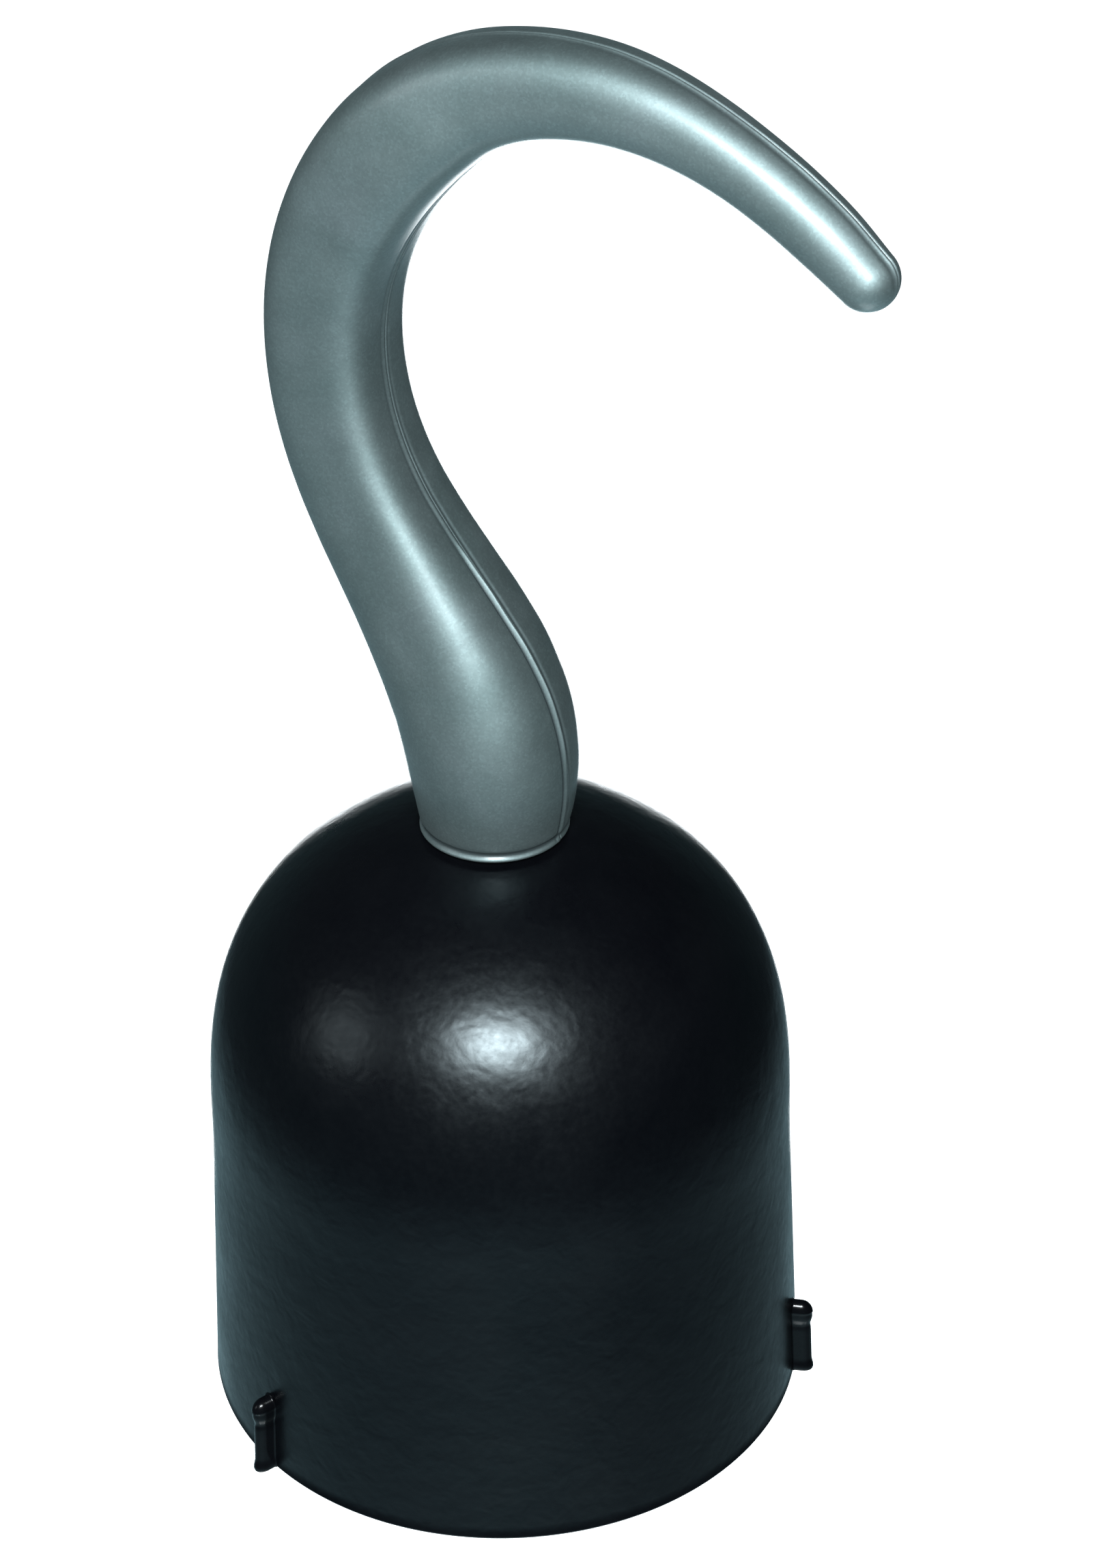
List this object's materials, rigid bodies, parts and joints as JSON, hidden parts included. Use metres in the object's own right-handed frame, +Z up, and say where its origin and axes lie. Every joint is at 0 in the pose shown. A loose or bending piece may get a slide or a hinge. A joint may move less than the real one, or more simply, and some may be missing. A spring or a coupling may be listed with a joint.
{
  "type": "costume pirate hook",
  "caption": "Curved two-part hook on a swivelling neck that rises from a hollow domed hand cup with an inner cross-bar grip.",
  "frame": {"origin": "under the middle of the whole object's box, on the surface the rim rests on; the cup's axis and the hook's swivel axis stand at x = -0.00769, y = 0", "axes": "+Z up from the rim to the dome and the hook; +X from the cup's axis towards the hook's tip at rest; +Y away from the hook half with the raised seam lip"},
  "size_m": [0.1154, 0.1, 0.2398],
  "materials": {
    "cup": "black moulded plastic with a satin, slightly uneven gloss",
    "post": "glossy black moulded plastic",
    "hook": "satin silver-grey plastic with fine metallic flake",
    "grip": "matt black moulded plastic, fine texture",
    "washer": "smooth black plastic",
    "screw": "plated steel"
  },
  "bodies": {
    "cup": {"cup_shell": "cup", "rim_post_left": "post", "rim_post_right": "post", "rim_post_back": "post"},
    "hook": {"hook_half_near": "hook", "hook_half_far": "hook", "neck_shank": "grip", "swivel_washer_outer": "washer", "swivel_washer_inner": "washer", "retaining_nut": "grip", "grip_bar_front": "grip", "grip_bar_rear": "grip", "grip_screw_left": "screw", "grip_screw_centre": "screw", "grip_screw_right": "screw"}
  },
  "joints": [
    {"name": "hook_swivel", "type": "hinge", "parent": "cup", "child": "hook", "pos_m": [-0.00769, 0, 0.104], "axis": [0, 0, 1], "continuous": true}
  ]
}
